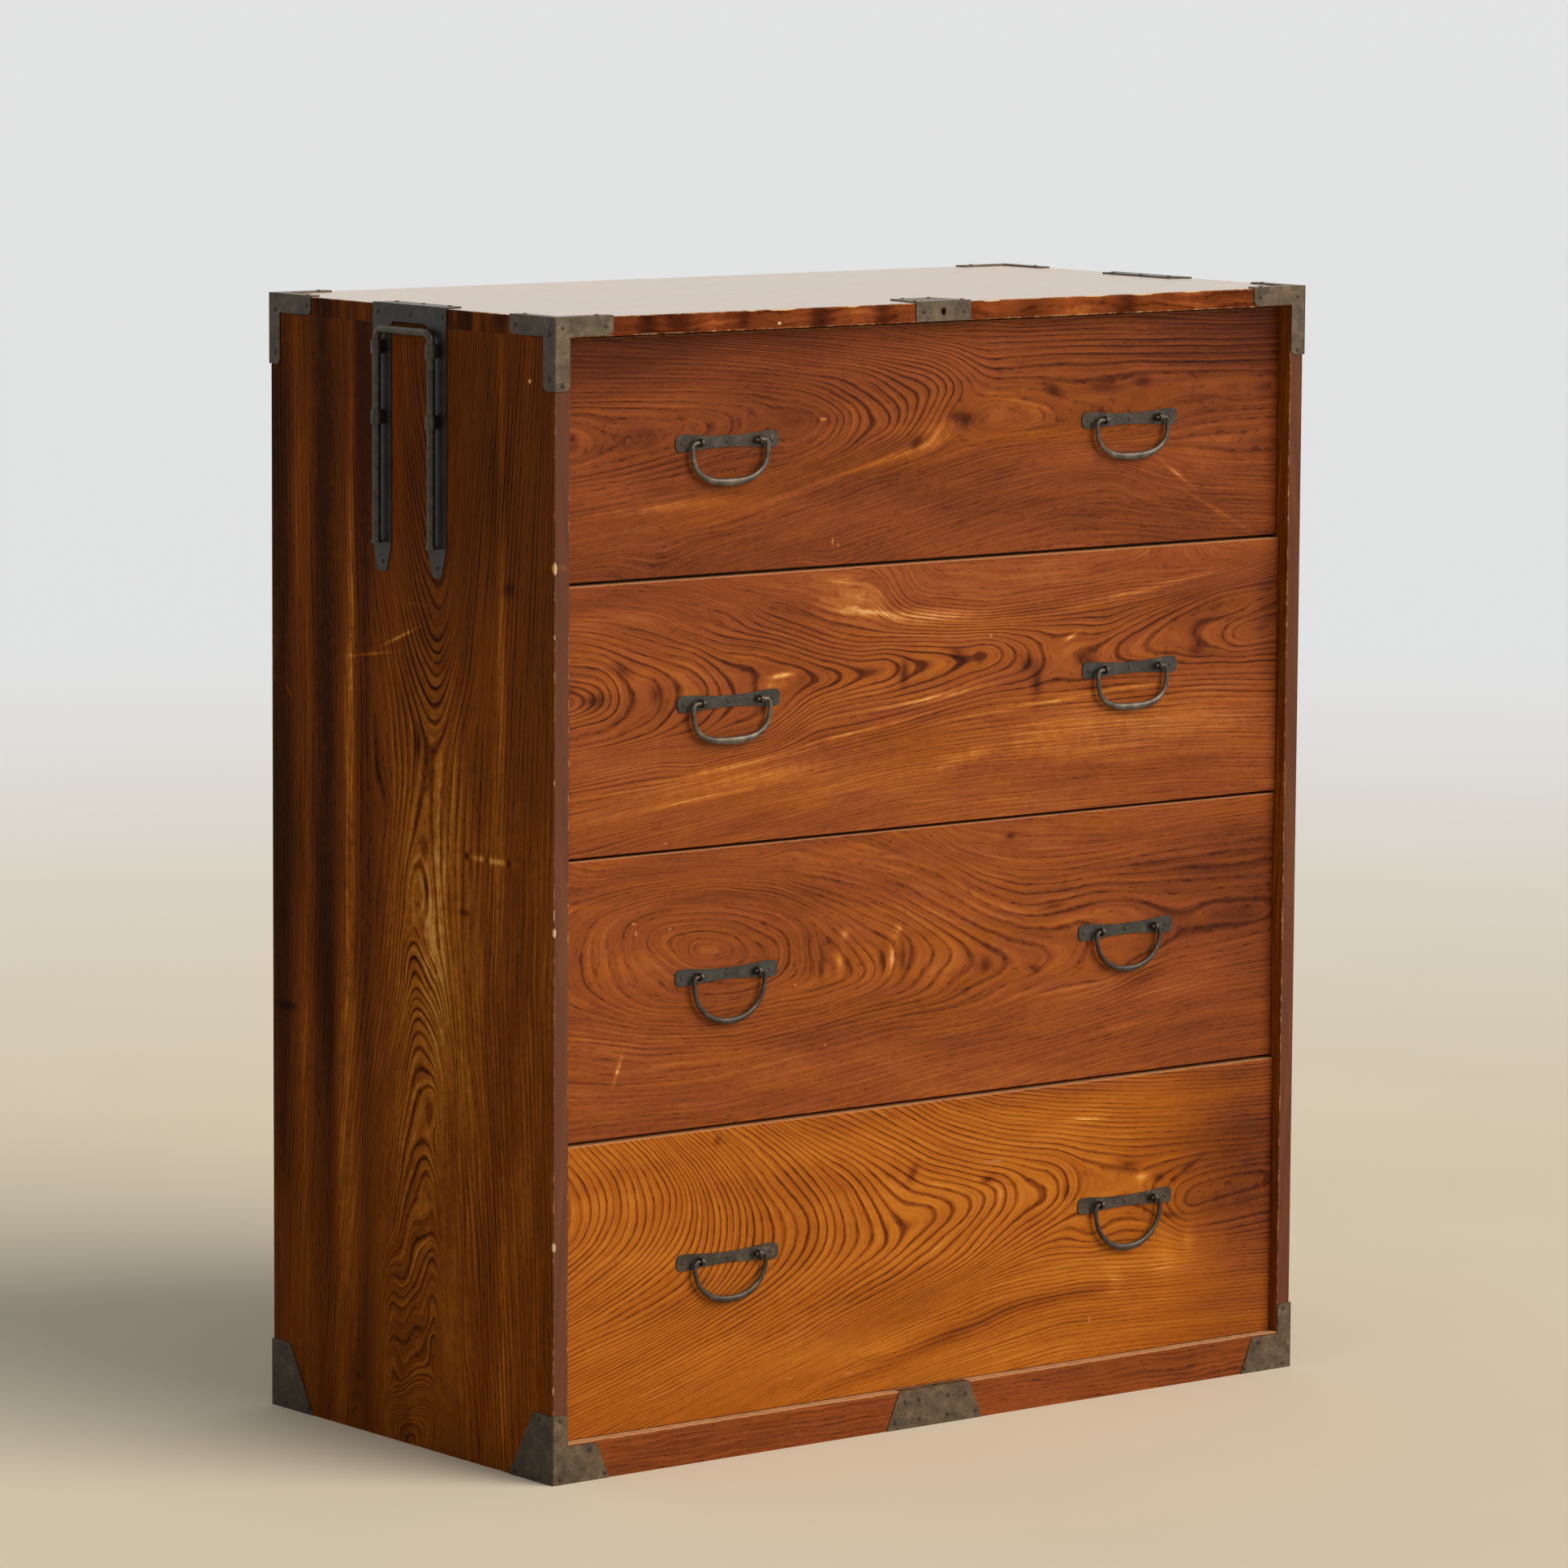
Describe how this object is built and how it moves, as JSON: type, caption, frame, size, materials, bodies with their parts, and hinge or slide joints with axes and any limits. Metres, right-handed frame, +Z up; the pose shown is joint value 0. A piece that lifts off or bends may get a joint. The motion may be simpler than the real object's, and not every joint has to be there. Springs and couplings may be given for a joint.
{
  "type": "clothing chest",
  "caption": "Low wooden clothing chest with stacked full-width drawers, swinging iron bail handles, corner irons, a top lock and sliding carrying handles on its sides.",
  "frame": {"origin": "centre of the footprint on the floor, between the feet of the side panels", "axes": "+X towards the chest's right as one faces it, -Y towards the front that the drawers pull out of, +Z up"},
  "size_m": [0.933, 0.4564, 1.0729],
  "materials": {
    "lacquered_case": "satin",
    "lacquered_front": "satin",
    "plain_board": "matte",
    "drawer_lining": "matte",
    "peg_wood": "matte",
    "wrought_iron": "satin",
    "handle_iron": "satin",
    "iron_nails": "satin"
  },
  "bodies": {
    "case": {"back_left_foot_bracket": "wrought_iron", "back_left_top_bracket": "wrought_iron", "back_panel": "plain_board", "back_right_foot_bracket": "wrought_iron", "back_right_top_bracket": "wrought_iron", "bottom_board": "lacquered_case", "bottom_rail": "lacquered_case", "carcass_nails": "iron_nails", "front_left_foot_bracket": "wrought_iron", "front_left_top_bracket": "wrought_iron", "front_right_foot_bracket": "wrought_iron", "front_right_top_bracket": "wrought_iron", "joint_pegs": "peg_wood", "keeper_plate": "wrought_iron", "left_pole_plate": "wrought_iron", "left_side_panel": "lacquered_case", "lock_case": "wrought_iron", "lock_plate": "wrought_iron", "lower_shelf": "plain_board", "middle_shelf": "plain_board", "pole_guides": "wrought_iron", "right_pole_plate": "wrought_iron", "right_side_panel": "lacquered_case", "top_board": "lacquered_case", "upper_shelf": "plain_board"},
    "top_drawer": {"top_drawer_back": "drawer_lining", "top_drawer_bottom": "drawer_lining", "top_drawer_front": "lacquered_front", "top_drawer_handle_fixings": "handle_iron", "top_drawer_handle_plates": "handle_iron", "top_drawer_sides": "drawer_lining"},
    "second_drawer": {"second_drawer_back": "drawer_lining", "second_drawer_bottom": "drawer_lining", "second_drawer_front": "lacquered_front", "second_drawer_handle_fixings": "handle_iron", "second_drawer_handle_plates": "handle_iron", "second_drawer_sides": "drawer_lining"},
    "third_drawer": {"third_drawer_back": "drawer_lining", "third_drawer_bottom": "drawer_lining", "third_drawer_front": "lacquered_front", "third_drawer_handle_fixings": "handle_iron", "third_drawer_handle_plates": "handle_iron", "third_drawer_sides": "drawer_lining"},
    "bottom_drawer": {"bottom_drawer_back": "drawer_lining", "bottom_drawer_bottom": "drawer_lining", "bottom_drawer_front": "lacquered_front", "bottom_drawer_handle_fixings": "handle_iron", "bottom_drawer_handle_plates": "handle_iron", "bottom_drawer_sides": "drawer_lining"},
    "bottom_drawer_left_bail": {"bottom_drawer_left_bail": "handle_iron"},
    "bottom_drawer_right_bail": {"bottom_drawer_right_bail": "handle_iron"},
    "left_pole_handle": {"left_pole_handle": "wrought_iron"},
    "lock_bolt": {"lock_bolt": "wrought_iron"},
    "right_pole_handle": {"right_pole_handle": "wrought_iron"},
    "second_drawer_left_bail": {"second_drawer_left_bail": "handle_iron"},
    "second_drawer_right_bail": {"second_drawer_right_bail": "handle_iron"},
    "third_drawer_left_bail": {"third_drawer_left_bail": "handle_iron"},
    "third_drawer_right_bail": {"third_drawer_right_bail": "handle_iron"},
    "top_drawer_left_bail": {"top_drawer_left_bail": "handle_iron"},
    "top_drawer_right_bail": {"top_drawer_right_bail": "handle_iron"}
  },
  "joints": [
    {"name": "top_drawer_slide", "type": "slide", "parent": "case", "child": "top_drawer", "axis": [0, -1, 0], "range_m": [0, 0.34]},
    {"name": "second_drawer_slide", "type": "slide", "parent": "case", "child": "second_drawer", "axis": [0, -1, 0], "range_m": [0, 0.34]},
    {"name": "third_drawer_slide", "type": "slide", "parent": "case", "child": "third_drawer", "axis": [0, -1, 0], "range_m": [0, 0.34]},
    {"name": "bottom_drawer_slide", "type": "slide", "parent": "case", "child": "bottom_drawer", "axis": [0, -1, 0], "range_m": [0, 0.34]},
    {"name": "top_drawer_left_bail_swing", "type": "hinge", "parent": "top_drawer", "child": "top_drawer_left_bail", "pos_m": [-0.2446, -0.2154, 0.9502], "axis": [-1, 0, 0], "range_deg": [-3, 175]},
    {"name": "top_drawer_right_bail_swing", "type": "hinge", "parent": "top_drawer", "child": "top_drawer_right_bail", "pos_m": [0.2446, -0.2154, 0.9502], "axis": [-1, 0, 0], "range_deg": [-3, 175]},
    {"name": "second_drawer_left_bail_swing", "type": "hinge", "parent": "second_drawer", "child": "second_drawer_left_bail", "pos_m": [-0.2446, -0.2194, 0.71], "axis": [-1, 0, 0], "range_deg": [-3, 175]},
    {"name": "second_drawer_right_bail_swing", "type": "hinge", "parent": "second_drawer", "child": "second_drawer_right_bail", "pos_m": [0.2446, -0.2194, 0.71], "axis": [-1, 0, 0], "range_deg": [-3, 175]},
    {"name": "third_drawer_left_bail_swing", "type": "hinge", "parent": "third_drawer", "child": "third_drawer_left_bail", "pos_m": [-0.2446, -0.2179, 0.4554], "axis": [-1, 0, 0], "range_deg": [-3, 175]},
    {"name": "third_drawer_right_bail_swing", "type": "hinge", "parent": "third_drawer", "child": "third_drawer_right_bail", "pos_m": [0.2446, -0.2179, 0.4554], "axis": [-1, 0, 0], "range_deg": [-3, 175]},
    {"name": "bottom_drawer_left_bail_swing", "type": "hinge", "parent": "bottom_drawer", "child": "bottom_drawer_left_bail", "pos_m": [-0.2446, -0.2214, 0.1884], "axis": [-1, 0, 0], "range_deg": [-3, 175]},
    {"name": "bottom_drawer_right_bail_swing", "type": "hinge", "parent": "bottom_drawer", "child": "bottom_drawer_right_bail", "pos_m": [0.2446, -0.2214, 0.1884], "axis": [-1, 0, 0], "range_deg": [-3, 175]},
    {"name": "left_pole_handle_lift", "type": "slide", "parent": "case", "child": "left_pole_handle", "axis": [0, 0, 1], "range_m": [0, 0.106]},
    {"name": "right_pole_handle_lift", "type": "slide", "parent": "case", "child": "right_pole_handle", "axis": [0, 0, 1], "range_m": [0, 0.106]},
    {"name": "lock_bolt_throw", "type": "slide", "parent": "case", "child": "lock_bolt", "axis": [1, 0, 0], "range_m": [0, 0.014]}
  ]
}
